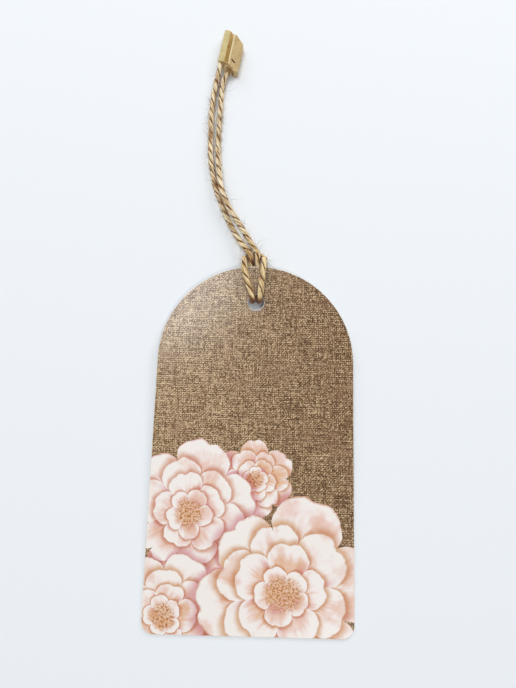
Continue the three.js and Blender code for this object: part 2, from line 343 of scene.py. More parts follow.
def curvePoints(route):  # a centripetal Catmull-Rom curve, as three.js draws it
    points = np.array(route, float) + (0, topEdgeY, 0)
    points = np.vstack([2 * points[0] - points[1], points, 2 * points[-1] - points[-2]])
    fine = []
    for p0, p1, p2, p3 in zip(points, points[1:], points[2:], points[3:]):
        t1 = np.linalg.norm(p1 - p0) ** 0.5
        t2 = t1 + np.linalg.norm(p2 - p1) ** 0.5
        t3 = t2 + np.linalg.norm(p3 - p2) ** 0.5
        t = np.linspace(t1, t2, 24, endpoint=False)[:, None]
        a1 = (t1 - t) / t1 * p0 + t / t1 * p1
        a2 = (t2 - t) / (t2 - t1) * p1 + (t - t1) / (t2 - t1) * p2
        a3 = (t3 - t) / (t3 - t2) * p2 + (t - t2) / (t3 - t2) * p3
        b1 = (t2 - t) / t2 * a1 + t / t2 * a2
        b2 = (t3 - t) / (t3 - t1) * a2 + (t - t1) / (t3 - t1) * a3
        fine.append((t2 - t) / (t2 - t1) * b1 + (t - t1) / (t2 - t1) * b2)
    return np.vstack([*fine, points[-2:-1]])


def spacedPoints(line, count):  # points evenly spaced along a line, and their distances
    along = np.concatenate([[0], np.cumsum(np.linalg.norm(np.diff(line, axis=0), axis=1))])
    places = np.linspace(0, along[-1], count)
    return np.stack([np.interp(places, along, line[:, k]) for k in range(3)], axis=1), places


def turningFrames(line):  # two directions across the line that turn no more than it does
    tangents = np.gradient(line, axis=0)
    tangents /= np.linalg.norm(tangents, axis=1)[:, None]
    side = np.cross(tangents[0], (0.1, 0.2, 1))
    sides = []
    for tangent in tangents:
        side = side - tangent * (side @ tangent)
        side = side / np.linalg.norm(side)
        sides.append(side)
    sides = np.array(sides)
    return tangents, sides, np.cross(tangents, sides)


def wobble(places, length, seed):  # smooth noise along the twine, from -1 to 1
    return np.array([noise.noise(Vector((s / length, seed * 7.3, 0.5))) for s in places])


roughLine = curvePoints(wholeRoute)
wholeLength = np.linalg.norm(np.diff(roughLine, axis=0), axis=1).sum()
twineLine, twinePlaces = spacedPoints(roughLine, round(wholeLength / twine["ringSpacing"]) + 1)
twineTangents, twineSides, twineUps = turningFrames(twineLine)


def placeOf(routePoint):  # how far along the twine a route's point is
    point = np.array(routePoint) + (0, topEdgeY, 0)
    return twinePlaces[np.linalg.norm(twineLine - point, axis=1).argmin()]


knotStart, knotEnd = placeOf(knotRoute[0]), placeOf(knotRoute[-1])
knotShare = np.clip(np.minimum(twinePlaces - knotStart, knotEnd - twinePlaces) / mm + 0.5, 0, 1)
twineRadii = twine["legDiameter"] + knotShare * (twine["knotDiameter"] - twine["legDiameter"])
twineSwell = wobble(twinePlaces, twine["unevenLength"], twine["seed"])
twineRadii = twineRadii / 2 * (1 + twine["unevenness"] * twineSwell)
knotTint = np.maximum(knotStart - twinePlaces, twinePlaces - knotEnd) / twine["tintReach"]
knotTint = np.clip(1 - knotTint, 0, 1)
twinePhase = twine["twist"] * 2 * math.pi * twinePlaces / twine["lay"]
layWander = wobble(twinePlaces, twine["layWanderLength"], twine["seed"] + 1)
twinePhase = twinePhase + twine["layWander"] * layWander


def strandNearness(row, points):  # painted shade: 1 where another strand or the hole's edge presses on it, darkening the crevice
    others = np.abs(twinePlaces - twinePlaces[row]) > twine["ownStretch"]
    others &= np.linalg.norm(twineLine - twineLine[row], axis=1) < 2 * twine["knotDiameter"]
    near = np.zeros(len(points))
    if others.any():
        away = np.linalg.norm(points[:, None] - twineLine[others][None], axis=2).min(axis=1)
        near = 1 - (away - 0.55 * twine["knotDiameter"]) / twine["contactReach"]
    inHole = np.linalg.norm(points[:, :2] - holeCentre, axis=1) < 0.6 * cardSize["holeDiameter"]
    sunk = (twine["contactTop"] - points[:, 2]) / twine["contactReach"]
    return np.clip(np.maximum(near, inHole * sunk), 0, 1)


def makeTwine(name, first, last):  # both plies between two places along the twine, as one tube
    rows = np.arange(*np.searchsorted(twinePlaces, (first - 1e-9, last + 1e-9)))
    angles = np.arange(twine["sides"]) / twine["sides"] * 2 * math.pi
    theta = twinePhase[rows, None] + angles[None]
    offCrest = np.abs(np.mod(angles + math.pi / 2, math.pi) - math.pi / 2)
    groove = np.exp(-(((math.pi / 2 - offCrest) / math.radians(twine["grooveWidth"])) ** 2))
    fibreAngle = twine["fibreLean"] * theta + (1 - twine["fibreLean"]) * angles[None]
    place = np.stack(
        [np.cos(fibreAngle), np.sin(fibreAngle), 0 * theta + twinePlaces[rows, None] / mm], axis=2
    )
    place[:, :, :2] *= twineRadii[rows, None, None] / mm
    scaled = place.reshape(-1, 3) * twine["reliefScale"]
    relief = np.array([noise.noise(Vector(point)) for point in scaled]).reshape(theta.shape)
    radius = twineRadii[rows, None] * (1 - twine["grooveDepth"] * groove)
    radius = radius + twine["fibreRelief"] * relief * (1 - 0.6 * groove)
    points = twineLine[rows, None] + radius[:, :, None] * (
        np.cos(theta)[:, :, None] * twineSides[rows, None]
        + np.sin(theta)[:, :, None] * twineUps[rows, None]
    )
    points[:, :, 2] = np.maximum(points[:, :, 2], 0.01 * mm)  # it lies on the table
    creaseShade = np.array([strandNearness(*pair) for pair in zip(rows, points)])
    count, sides = theta.shape
    faces = [
        (low + k, low + (k + 1) % sides, low + sides + (k + 1) % sides, low + sides + k)
        for low in range(0, (count - 1) * sides, sides)
        for k in range(sides)
    ]
    faces.append(tuple(range(sides))[::-1])
    faces.append(tuple(range((count - 1) * sides, count * sides)))
    obj = makeObject(name, points.reshape(-1, 3), faces)
    fibrePlace = obj.data.attributes.new("fibrePlace", "FLOAT_VECTOR", "POINT")
    fibrePlace.data.foreach_set("vector", place.astype(np.float32).ravel())
    crests, golden = 1 - groove + 0 * theta, knotTint[rows, None] + 0 * theta
    for key, values in (("plyCrest", crests), ("contactShade", creaseShade), ("golden", golden)):
        stored = obj.data.attributes.new(key, "FLOAT", "POINT")
        stored.data.foreach_set("value", values.astype(np.float32).ravel())
    shadeSmooth(obj, 75)
    return obj, twineLine[rows]


# Loose fibres, thin tubes that taper to a point

flyaway = {
    "perMillimetre": 5.5,
    "meanLength": 1.5 * mm,
    "longest": 5.0 * mm,
    "thickness": (0.045 * mm, 0.085 * mm),
    "shortest": 0.5 * mm,
    "lean": 0.4,  # how far a fibre leans away from the strand
    "curl": 0.55,
    "jitter": 0.12,
    "bends": 5,
    "pathPoints": 7,
    "clearance": 0.05 * mm,  # from the table and the card
    "cardTop": 0.5 * mm,  # the card's thickness and the clearance
    "underReach": 0.2 * mm,  # a strand no further above the card's back lies under it
    "edgeReach": 1.0 * mm,  # the knot's swing brings the card this much nearer
    "seed": 12,
}


def roundedPath(points, count):  # a few points rounded off
    for _ in range(3):
        near = [0.75 * a + 0.25 * b for a, b in zip(points, points[1:])]
        far = [0.25 * a + 0.75 * b for a, b in zip(points, points[1:])]
        points = [points[0], *(p for pair in zip(near, far) for p in pair), points[-1]]
    return spacedPoints(np.array(points), count)[0]


def makeFibres(name, paths, thicknesses, sides=3):
    vertices, faces = [], []
    for path, thickness in zip(paths, thicknesses):
        _, across, up = turningFrames(path)
        start = len(vertices)
        for i, centre in enumerate(path):
            radius = thickness * (1 - 0.9 * i / (len(path) - 1)) / 2
            for k in range(sides):
                angle = 2 * math.pi * k / sides
                vertices.append(centre + radius * (math.cos(angle) * across[i] + math.sin(angle) * up[i]))
        last = start + (len(path) - 1) * sides
        for base in range(start, last, sides):
            for k in range(sides):
                a, b = base + k, base + (k + 1) % sides
                faces.append((a, b, b + sides, a + sides))
        faces.append(tuple(range(start, start + sides))[::-1])
        faces.append(tuple(range(last, last + sides)))
    obj = makeObject(name, vertices, faces)
    shadeSmooth(obj, 180)
    return obj


def keepClear(point, row):  # a fibre stays above the table and on its own side of the card
    point[2] = max(point[2], flyaway["clearance"])
    if point[1] < topEdgeY + flyaway["edgeReach"]:
        under = (point[1] + topEdgeY) * math.sin(cardSize["tilt"])
        if twineLine[row][2] < under + flyaway["underReach"]:
            point[2] = min(point[2], under - flyaway["clearance"])
        else:
            point[2] = max(point[2], under + flyaway["cardTop"])
    return point


def growFibre(random, point, direction, length, curl, row):
    points = [point]
    bend = random.normal(0, curl, 3)
    for _ in range(flyaway["bends"]):
        direction = direction / np.linalg.norm(direction)
        point = keepClear(point + direction * length / flyaway["bends"], row)
        points.append(point)
        direction = direction + 0.5 * bend + random.normal(0, flyaway["jitter"], 3)
    return roundedPath(points, flyaway["pathPoints"])


def looseFibres(name, first, last, seed):
    random = np.random.default_rng(flyaway["seed"] + seed)
    paths, thicknesses = [], []
    for _ in range(int((last - first) / mm * flyaway["perMillimetre"])):
        row = int(np.searchsorted(twinePlaces, random.uniform(first + 0.3 * mm, last - 0.3 * mm)))
        angle = random.uniform(0, 2 * math.pi)
        out = math.cos(angle) * twineSides[row] + math.sin(angle) * twineUps[row]
        heading = twineTangents[row] * random.choice((-1, 1))
        length = flyaway["shortest"] + random.exponential(flyaway["meanLength"])
        length = min(flyaway["longest"], length)
        direction = heading + flyaway["lean"] * (0.25 + random.exponential(1.0)) * out
        start = twineLine[row] + out * twineRadii[row] * 0.85
        paths.append(growFibre(random, start, direction, length, flyaway["curl"], row))
        thicknesses.append(random.uniform(*flyaway["thickness"]))
    return makeFibres(name, paths, thicknesses)


# The twine is cut where the tag's moving parts meet

elbow = {"before": 1.0 * mm, "after": 1.6 * mm}  # how far the bend at the knot reaches
pivot = (-0.00155, topEdgeY + 0.0039, 0.00264)
lockBend = ((-0.0144, 0.0785, 0.0008), (-0.0131, 0.1035, 0.0011))  # the left strand follows the rod


def elbowPlace(near):  # where a leg leaves the knot, just before the hinge between them
    rows = np.abs(twinePlaces - near) < 3 * mm
    return twinePlaces[rows][np.abs(twineLine[rows, 1] - pivot[1] + elbow["before"]).argmin()]


leftElbow, rightElbow = elbowPlace(knotStart), elbowPlace(knotEnd)
leftMiddle = twinePlaces[len(twinePlaces[twinePlaces < leftElbow]) // 2]
elbowBend = (
    (pivot[0], pivot[1] - elbow["before"], pivot[2]),
    (pivot[0], pivot[1] + elbow["after"], pivot[2]),
)
stretches = {  # name: its ends along the twine, its bodies, what it bends between, its CAD node
    "twineLeftUpper": (0.0, leftMiddle, ("cord", "plug"), lockBend, "twine_leg_left"),
    "twineLeftLower": (leftMiddle, leftElbow, ("knot", "cord"), elbowBend, "twine_leg_left"),
    "twineKnot": (leftElbow, rightElbow, ("knot",), None, "twine_hitch"),
    "twineRight": (rightElbow, twinePlaces[-1], ("knot", "cord"), elbowBend, "twine_leg_right"),
}


def makeTwineMaterial():
    material, tree, shader = newMaterial("juteTwine", Roughness=0.85, Sheen_Weight=0.15)
    fibre = attribute(tree, "fibrePlace", "Vector")
    strands = noiseAt(tree, vectorCalc(tree, "MULTIPLY", fibre, twine["strandScale"]), 1.0, 4, 0.6)
    coarse = noiseAt(tree, vectorCalc(tree, "MULTIPLY", fibre, twine["coarseScale"]), 1.0, 2)
    patches = noiseAt(tree, vectorCalc(tree, "MULTIPLY", fibre, twine["patchScale"]), 1.0, 1)
    tone = calc(tree, "MULTIPLY_ADD", strands, 0.4, calc(tree, "MULTIPLY", coarse, 0.6))
    body = mix(tree, ramp(tree, tone, 0.39, 0.49), colour(twine["dark"]), colour(twine["middle"]))
    body = mix(tree, ramp(tree, tone, 0.475, 0.555), body, colour(twine["light"]))
    body = mix(tree, ramp(tree, patches, 0.5, 0.75, 0.0, 0.5), body, colour(twine["tipTone"]))
    contactShade = calc(tree, "SUBTRACT", 0.5, coarse)  # painted shade in streaks, where strands press on each other and sink into the hole
    contactShade = calc(tree, "MULTIPLY_ADD", contactShade, 1.6, attribute(tree, "contactShade"))
    body = mix(tree, ramp(tree, contactShade, 0.1, 0.85, 0.0, 0.85), body, colour(twine["shadow"]))
    # painted shade: the grooves between the plies take the groove's dark colour
    crest = calc(tree, "SUBTRACT", coarse, 0.5)
    crest = calc(tree, "MULTIPLY_ADD", crest, 1.3, attribute(tree, "plyCrest"))
    body = mix(tree, ramp(tree, crest, 0.15, 0.8), colour(twine["groove"]), body)
    body = mix(tree, attribute(tree, "golden"), body, colour(twine["knotTint"]), "MULTIPLY")
    feed(tree, shader.inputs["Base Color"], body)
    feed(tree, shader.inputs["Roughness"], ramp(tree, strands, 0.3, 0.7, 0.95, 0.75))
    height = calc(tree, "MULTIPLY_ADD", coarse, 0.5, strands)
    feed(tree, shader.inputs["Normal"], bumpNormal(tree, height, 0.12 * mm, 1.0))
    return material


def makeFibreMaterial(name, dark, light):
    material, tree, shader = newMaterial(name, Roughness=0.8, Sheen_Weight=0.1)
    tone = useGroup(tree, mottle, Vector=millimetres(tree), Size=0.8, Contrast=2.4)["Tone"]
    body = mix(tree, ramp(tree, tone, 0.25, 0.75), colour(dark), colour(light))
    feed(tree, shader.inputs["Base Color"], body)
    feed(tree, shader.inputs["Roughness"], ramp(tree, tone, 0.2, 0.8, 0.9, 0.65))
    return material


twineMaterial = makeTwineMaterial()
fibreMaterial = makeFibreMaterial("juteFibre", twine["hairShade"], twine["hair"])
for seed, (name, (first, last, bodies, bend, node)) in enumerate(stretches.items()):
    strand, line = makeTwine(name, first, last)
    finishPiece(strand, twineMaterial, bodies, [node], bend)
    fibres = looseFibres(name.replace("twine", "fibres"), first, last, seed)
    finishPiece(fibres, fibreMaterial, bodies, bend=bend)
    print(name, round((last - first) / mm, 1), "mm")


# Card: a white board and the thin printed face on it, both with softly cut edges

card = {
    "arcSteps": 128,
    "cornerSteps": 14,
    "holeSteps": 56,
    "sharpAngle": 12,  # degrees, so that the flat faces stay flat
    "boardProfile": [(0.1, 0), (0.03, 0.02), (0, 0.08), (0, 0.33), (0.03, 0.38), (0.09, 0.4)],
    "filmProfile": [(0.17, 0.39), (0.14, 0.41), (0.14, 0.435), (0.18, 0.45)],
    "paper": "#f2efe9",
    "paperShade": "#e2ddd3",
}


def cardPoint(x, y, z):  # from the card's own plane, in metres, to the frame
    tilt = cardSize["tilt"]
    along = y * math.cos(tilt) - z * math.sin(tilt)
    return (x, along - topEdgeY, y * math.sin(tilt) + z * math.cos(tilt))


def arc(centreX, centreY, radius, start, end, steps):
    for i in range(steps + 1):
        angle = math.radians(start + (end - start) * i / steps)
        yield (centreX + radius * math.cos(angle), centreY + radius * math.sin(angle))


def cardOutline(inset):
    half, corner = cardSize["width"] / 2, cardSize["cornerRadius"]
    side, steps = half - corner, card["cornerSteps"]
    return [
        *arc(-side, corner, corner - inset, 180, 270, steps),
        *arc(side, corner, corner - inset, 270, 360, steps),
        *arc(0, cardSize["length"] - half, half - inset, 0, 180, card["arcSteps"]),
    ]


def holeOutline(inset):
    centreY = cardSize["length"] - cardSize["holeFromTop"]
    radius = cardSize["holeDiameter"] / 2 + inset
    return list(arc(cardSize["holeOffset"], centreY, radius, 0, 360, card["holeSteps"]))[:-1]


def makeCardSheet(name, profile):
    vertices, faces, rings = [], [], []
    for outline in (cardOutline, holeOutline):
        rows = []
        for inset, height in profile:
            loop = outline(inset * mm)
            rows.append(range(len(vertices), len(vertices) + len(loop)))
            vertices += [cardPoint(x, y, height * mm) for x, y in loop]
        for low, high in zip(rows, rows[1:]):
            for i in range(len(low)):
                j = (i + 1) % len(low)
                faces.append((low[i], low[j], high[j], high[i]))
        rings.append(rows)
    for end in (0, -1):
        loops = [rows[end] for rows in rings]
        numbers = [i for loop in loops for i in loop]
        flat = [[Vector((vertices[i][0], vertices[i][1], 0)) for i in loop] for loop in loops]
        faces += [tuple(numbers[i] for i in face) for face in tessellate_polygon(flat)]
    obj = makeObject(name, vertices, faces)
    shadeSmooth(obj, card["sharpAngle"])
    return obj


def makePaperMaterial():
    material, tree, shader = newMaterial("whiteBoard", Roughness=0.8)
    place = millimetres(tree)
    tone = useGroup(tree, mottle, Vector=place, Size=1.6, Contrast=1.6)["Tone"]
    stretched = vectorCalc(tree, "MULTIPLY", place, (5.0, 1.6, 14.0))
    fibres = noiseAt(tree, stretched, 1.0, 5, 0.7)
    shade = calc(tree, "MULTIPLY_ADD", tone, 0.5, calc(tree, "MULTIPLY", fibres, 0.5))
    feed(tree, shader.inputs["Base Color"], mix(
        tree, ramp(tree, shade, 0.3, 0.6), colour(card["paperShade"]), colour(card["paper"])
    ))
    feed(tree, shader.inputs["Roughness"], ramp(tree, fibres, 0.3, 0.7, 0.88, 0.72))
    feed(tree, shader.inputs["Normal"], bumpNormal(tree, fibres, 0.02 * mm, 0.5))
    return material


# Printed face: a linen weave with a bank of open blossoms along the bottom

linen = {
    "pitch": 0.26,  # millimetres from thread to thread
    "wander": 0.3,
    "threads": [  # how fine across and up, and how strong
        ((1.3, 5.0), 1.8),
        ((5.0, 1.3), 1.3),
        ((0.16, 3.4), 1.7),
        ((2.8, 0.14), 1.2),
    ],
    "cellContrast": 0.85,
    "twillContrast": 0.4,
    "weft": (0.52, 0.21),  # millimetres from row to row, and how much each stands out
    "warp": (0.52, 0.12),
    "paintedSheenFade": (0.08, -0.14),  # painted light: lighter at the left edge, darker towards the right one, as the sheen falls off
    "toneSteps": (-0.12, 0.5, 1.12),  # where the tone is dark, middle and light
    "dark": "#43290d",
    "middle": "#8b6a44",
    "light": "#dcc19a",
    "blush": "#91694f",
}

blooms = {
    "cream": "#fbf4ef",
    "blush": "#f1d0c7",
    "rose": "#d98c95",
    "peach": "#e8bb93",
    "ochre": "#b8752c",
    "amber": "#dba66c",
    "deepRose": "#b4596a",
    "rings": [(1.0, 6, 0.1), (0.76, 6, 0.62), (0.53, 5, 0.2), (0.33, 5, 0.9)],  # reach, petals, turn
    "scallop": 0.34,
    "unevenness": 0.16,
    "wander": 2.4,
    "shadowReach": 1.16,
    "places": [  # millimetres from the card's lower left corner: x, y, radius, turn, warmth
        (26, 35.5, 10.0, 1.9, 0.8),
        (10, 27.5, 17.0, 1.2, 0.4),
        (5, 4, 14.5, 0.4, 0.6),
        (33, 9.5, 21.5, 0.25, 0.65),
    ],
}


def makeLinenGroup():  # uneven threads both ways, and a twill where they cross
    group, given, result = newGroup(
        "linenWeave",
        [("Vector", "Vector", (0, 0, 0)), ("Pitch", "Float", 0.4), ("Wander", "Float", 0.2)],
        [("Tone", "Float"), ("Height", "Float")],
    )
    bend = noiseAt(group, given["Vector"], 0.45, 2, output="Color")
    bend = vectorCalc(group, "SUBTRACT", bend, (0.5, 0.5, 0.5))
    bend = vectorCalc(group, "MULTIPLY", bend, combine(group, given["Wander"], given["Wander"]))
    place = vectorCalc(group, "ADD", given["Vector"], bend)
    tone = 0.5
    for scales, contrast in linen["threads"]:
        threads = noiseAt(group, vectorCalc(group, "MULTIPLY", place, (*scales, 0.0)), 1.0, 2, 0.6)
        tone = calc(group, "MULTIPLY_ADD", calc(group, "SUBTRACT", threads, 0.5), contrast, tone)
    split = addNode(group, "SeparateXYZ", Vector=place).outputs
    for axis, key in (("Y", "weft"), ("X", "warp")):
        spacing, contrast = linen[key]
        wave = calc(group, "SINE", calc(group, "MULTIPLY", split[axis], 2 * math.pi / spacing))
        tone = calc(group, "MULTIPLY_ADD", wave, contrast, tone)
    numbers = [
        calc(group, "FLOOR", calc(group, "DIVIDE", split[axis], given["Pitch"])) for axis in ("Y", "X")
    ]
    twill = calc(group, "FLOORED_MODULO", calc(group, "SUBTRACT", *numbers), 3.0)
    over = calc(group, "SUBTRACT", calc(group, "LESS_THAN", twill, 1.5), 0.66)
    cell = addNode(group, "TexWhiteNoise", Vector=combine(group, *numbers)).outputs["Value"]
    tone = calc(group, "MULTIPLY_ADD", over, linen["twillContrast"], tone)
    tone = calc(group, "MULTIPLY_ADD", calc(group, "SUBTRACT", cell, 0.5), linen["cellContrast"], tone)
    feed(group, result["Tone"], tone)
    feed(group, result["Height"], calc(group, "MULTIPLY_ADD", over, 0.6, tone))
    return group


def makePetalOutlineGroup():  # where a point lies in a ring of petals, whose place is in radii
    group, given, result = newGroup(
        "petalOutline",
        [("Place", "Vector", (0, 0, 0)), ("Reach", "Float", 1), ("Petals", "Float", 6),
         ("Turn", "Float", 0)],
        [("Along", "Float"), ("Side", "Float"), ("Number", "Float"), ("Chance", "Vector")],
    )
    split = addNode(group, "SeparateXYZ", Vector=given["Place"]).outputs
    angle = calc(group, "ADD", calc(group, "ARCTAN2", split["Y"], split["X"]), given["Turn"])
    sector = calc(group, "MULTIPLY", angle, calc(group, "DIVIDE", given["Petals"], 2 * math.pi))
    number = calc(group, "FLOORED_MODULO", calc(group, "FLOOR", sector), given["Petals"])
    side = calc(group, "SUBTRACT", calc(group, "FRACT", sector), 0.5)
    chance = addNode(
        group, "TexWhiteNoise", Vector=combine(group, number, given["Reach"], split["Z"])
    ).outputs["Color"]
    uneven = addNode(group, "SeparateXYZ", Vector=chance).outputs["X"]
    uneven = calc(
        group, "MULTIPLY_ADD", uneven, blooms["unevenness"], 1 - 0.5 * blooms["unevenness"]
    )
    off = calc(group, "MULTIPLY", side, 1.97)
    bulge = calc(group, "SQRT", calc(group, "SUBTRACT", 1.0, calc(group, "MULTIPLY", off, off)))
    edge = calc(group, "MULTIPLY_ADD", bulge, blooms["scallop"], 1 - blooms["scallop"])
    notch = ramp(group, calc(group, "ABSOLUTE", side), 0.14, 0.0, 0.0, 0.05)
    edge = calc(group, "MULTIPLY", calc(group, "SUBTRACT", edge, notch), uneven)
    flat = vectorCalc(group, "MULTIPLY", given["Place"], (1, 1, 0))
    distance = vectorCalc(group, "LENGTH", flat)
    feed(group, result["Along"], calc(
        group, "DIVIDE", distance, calc(group, "MULTIPLY", edge, given["Reach"])
    ))
    feed(group, result["Side"], side)
    feed(group, result["Number"], number)
    feed(group, result["Chance"], chance)
    return group


def makePetalRingGroup(petalOutline):  # paints one ring of petals over what is below it
    group, given, result = newGroup(
        "petalRing",
        [("Place", "Vector", (0, 0, 0)), ("Below", "Color", (1, 1, 1, 1)), ("Reach", "Float", 1),
         ("Petals", "Float", 6), ("Turn", "Float", 0), ("Warmth", "Float", 0.5), ("Wash", "Float", 0.5)],
        [("Color", "Color")],
    )
    keys = ("Place", "Reach", "Petals", "Turn")
    petal = useGroup(group, petalOutline, **{key: given[key] for key in keys})
    along, side = petal["Along"], petal["Side"]
    chance = addNode(group, "SeparateXYZ", Vector=petal["Chance"]).outputs
    veinPlace = combine(
        group, calc(group, "MULTIPLY", calc(group, "ADD", petal["Number"], side), 9.0),
        calc(group, "MULTIPLY", along, 1.7), calc(group, "MULTIPLY", given["Reach"], 40.0),
    )
    vein = noiseAt(group, veinPlace, 1.0, 4, 0.65)
    flush = calc(group, "MULTIPLY_ADD", chance["Y"], 0.7, 0.35)  # each petal deepens inwards
    flush = calc(group, "MULTIPLY", ramp(group, along, 1.0, 0.45), flush)
    streaks = calc(group, "SUBTRACT", vein, 0.5)
    streaks = calc(group, "MULTIPLY", streaks, ramp(group, along, 1.0, 0.6, 0.5, 1.4))
    flush = calc(group, "ADD", flush, streaks)
    flush = calc(group, "ADD", flush, ramp(group, given["Wash"], 0.45, 0.62, -0.15, 0.35))
    paint = mix(group, ramp(group, flush, -0.05, 0.65), colour(blooms["cream"]), colour(blooms["blush"]))
    warm = ramp(group, chance["Z"], 0.1, 0.9, 0.6, 1.6)
    warm = calc(group, "MULTIPLY", given["Warmth"], warm)
    warm = calc(group, "MULTIPLY", ramp(group, flush, 0.1, 0.9), warm)
    paint = mix(group, warm, paint, colour(blooms["peach"]))
    paint = mix(group, ramp(group, flush, 0.6, 1.3, 0.0, 0.85), paint, colour(blooms["rose"]))
    tucked = ramp(group, side, -0.3, -0.5, 0.0, 0.6)  # one side lies under the next petal
    tucked = calc(group, "MULTIPLY", tucked, ramp(group, along, 1.0, 0.7))
    paint = mix(group, tucked, paint, colour(blooms["rose"]))
    paint = mix(group, ramp(group, side, 0.36, 0.49, 0.0, 0.75), paint, colour(blooms["cream"]))
    depthColour = mix(
        group, ramp(group, given["Warmth"], 0.1, 0.6), colour(blooms["rose"]), colour(blooms["amber"])
    )
    rim = ramp(group, along, 0.97, 0.995, 0.0, 0.8)  # a broken line along the petal's edge
    rim = calc(group, "MULTIPLY", rim, ramp(group, vein, 0.38, 0.58))
    paint = mix(group, rim, paint, mix(group, 0.35, depthColour, colour(blooms["deepRose"])))
    shade = ramp(group, along, blooms["shadowReach"], 0.99, 0.0, 0.85)
    below = mix(group, shade, given["Below"], depthColour, "MULTIPLY")
    feed(group, result["Color"], mix(group, ramp(group, along, 1.006, 0.994), below, paint))
    return group


def paintLinen(tree, flat, tone):  # its own tone, painted light that darkens across the card from left to right, and blushed patches
    across = addNode(tree, "SeparateXYZ", Vector=flat).outputs["X"]
    # painted light: the tone is raised at the left edge and lowered at the right
    tone = calc(tree, "ADD", tone, ramp(tree, across, 0, cardSize["width"] / mm, *linen["paintedSheenFade"]))
    low, middle, high = linen["toneSteps"]
    cloth = mix(tree, ramp(tree, tone, low, middle), colour(linen["dark"]), colour(linen["middle"]))
    cloth = mix(tree, ramp(tree, tone, middle, high), cloth, colour(linen["light"]))
    patches = ramp(tree, noiseAt(tree, flat, 0.12, 2), 0.5, 0.8, 0.0, 0.45)
    return mix(tree, patches, cloth, colour(linen["blush"]))


def chooseBloom(tree, petalOutline, warped):  # the topmost bloom at each point
    chosen, warmth, cover, shade = (0, 0, 0), 0.0, 0.0, 0.0
    reach, petals, start = blooms["rings"][0]
    for number, (x, y, radius, turn, warm) in enumerate(blooms["places"]):
        offset = vectorCalc(tree, "SUBTRACT", warped, (x, y, 0))
        offset = vectorCalc(tree, "MULTIPLY", offset, (1 / radius, 1 / radius, 0))
        turned = addNode(tree, "VectorRotate", {"rotation_type": "Z_AXIS"}, Vector=offset, Angle=turn)
        spot = vectorCalc(tree, "ADD", turned.outputs[0], (0, 0, number + 0.5))
        along = useGroup(
            tree, petalOutline, Place=spot, Reach=reach, Petals=float(petals), Turn=start
        )["Along"]
        inside = calc(tree, "LESS_THAN", along, 1.0)
        outside = calc(tree, "SUBTRACT", 1.0, inside)
        near = ramp(tree, along, blooms["shadowReach"], 0.99, 0.0, 1.0 if number else 0.0)
        shade = calc(tree, "MULTIPLY", calc(tree, "MAXIMUM", shade, near), outside)
        cover = calc(tree, "MAXIMUM", cover, ramp(tree, along, 1.006, 0.994))
        picked = addNode(tree, "Mix", {"data_type": "VECTOR"})
        for index, value in ((0, inside), (4, chosen), (5, spot)):
            feed(tree, picked.inputs[index], value)
        chosen = picked.outputs[1]
        warmth = calc(tree, "MULTIPLY", warmth, outside)
        warmth = calc(tree, "ADD", warmth, calc(tree, "MULTIPLY", inside, warm))
    return chosen, warmth, cover, shade


def paintBlooms(tree, flat):  # their colour, and where they cover the linen
    bend = vectorCalc(tree, "SUBTRACT", noiseAt(tree, flat, 0.13, 3, output="Color"), (0.5, 0.5, 0.5))
    bend = vectorCalc(tree, "MULTIPLY", bend, (blooms["wander"], blooms["wander"], 0))
    petalOutline = makePetalOutlineGroup()
    chosen, warmth, cover, shade = chooseBloom(
        tree, petalOutline, vectorCalc(tree, "ADD", flat, bend)
    )
    wash = noiseAt(tree, flat, 0.11, 3)
    petalRing = makePetalRingGroup(petalOutline)
    paint = colour(blooms["rose"])
    for reach, petals, turn in blooms["rings"]:
        paint = useGroup(
            tree, petalRing, Place=chosen, Below=paint, Reach=reach, Petals=float(petals),
            Turn=turn, Warmth=warmth, Wash=wash,
        )["Color"]
    heart = vectorCalc(tree, "LENGTH", vectorCalc(tree, "MULTIPLY", chosen, (1, 1, 0)))
    dots = noiseAt(tree, flat, 1.9, 2, 0.7)
    dots = calc(tree, "MULTIPLY", ramp(tree, dots, 0.48, 0.58), ramp(tree, heart, 0.24, 0.14))
    paint = mix(tree, ramp(tree, heart, 0.25, 0.1, 0.0, 0.7), paint, colour(blooms["peach"]))
    paint = mix(tree, dots, paint, colour(blooms["ochre"]))
    shade = calc(tree, "MULTIPLY", shade, 0.8)
    return mix(tree, shade, paint, colour(blooms["rose"]), "MULTIPLY"), cover


laminate = {  # the clear skin over the print
    "specular": 0.25,
    "roughness": (0.55, 0.42),  # where it is scuffed, and where it isn't
    "coat": (0.5, 0.8),  # over the dark threads, and over the light ones
    "coatRoughness": 0.18,
    "coatIor": 1.5,
    "weaveRelief": 0.15,
    "grainRelief": 0.4,
    "reliefDepth": 0.008 * mm,
    "reliefStrength": 0.6,
}


